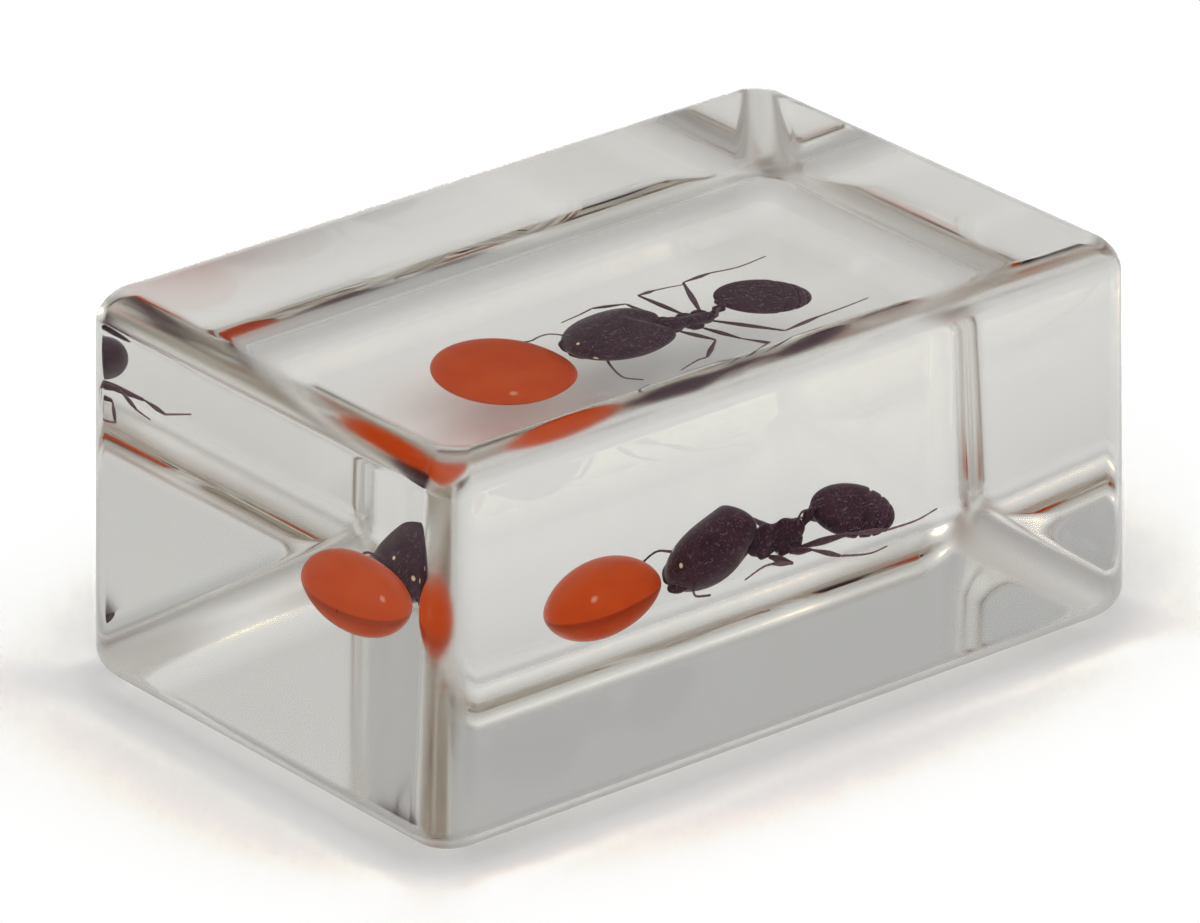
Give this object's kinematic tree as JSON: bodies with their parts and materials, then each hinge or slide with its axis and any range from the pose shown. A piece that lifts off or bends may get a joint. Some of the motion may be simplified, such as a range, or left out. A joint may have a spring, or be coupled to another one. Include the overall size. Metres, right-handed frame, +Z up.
{
  "type": "insect in resin block",
  "caption": "Clear cast resin display block with buffed rounded edges, holding a large dark ant that grips a glossy red-brown seed.",
  "frame": {"origin": "centre of the flat base, on the surface the block stands on", "axes": "+X along the block's long side, from the seed end to the ant's tail end; +Y along the short side, to the back; +Z up"},
  "size_m": [0.0444, 0.0284, 0.0209],
  "materials": {
    "clear_resin": "water-clear cast resin, polished, edges buffed round",
    "ant_cuticle": "smooth black-brown insect cuticle, glossy",
    "seed_coat": "hard glossy red-brown seed coat"
  },
  "bodies": {
    "root": {"resin_block": "clear_resin"}
  },
  "joints": []
}
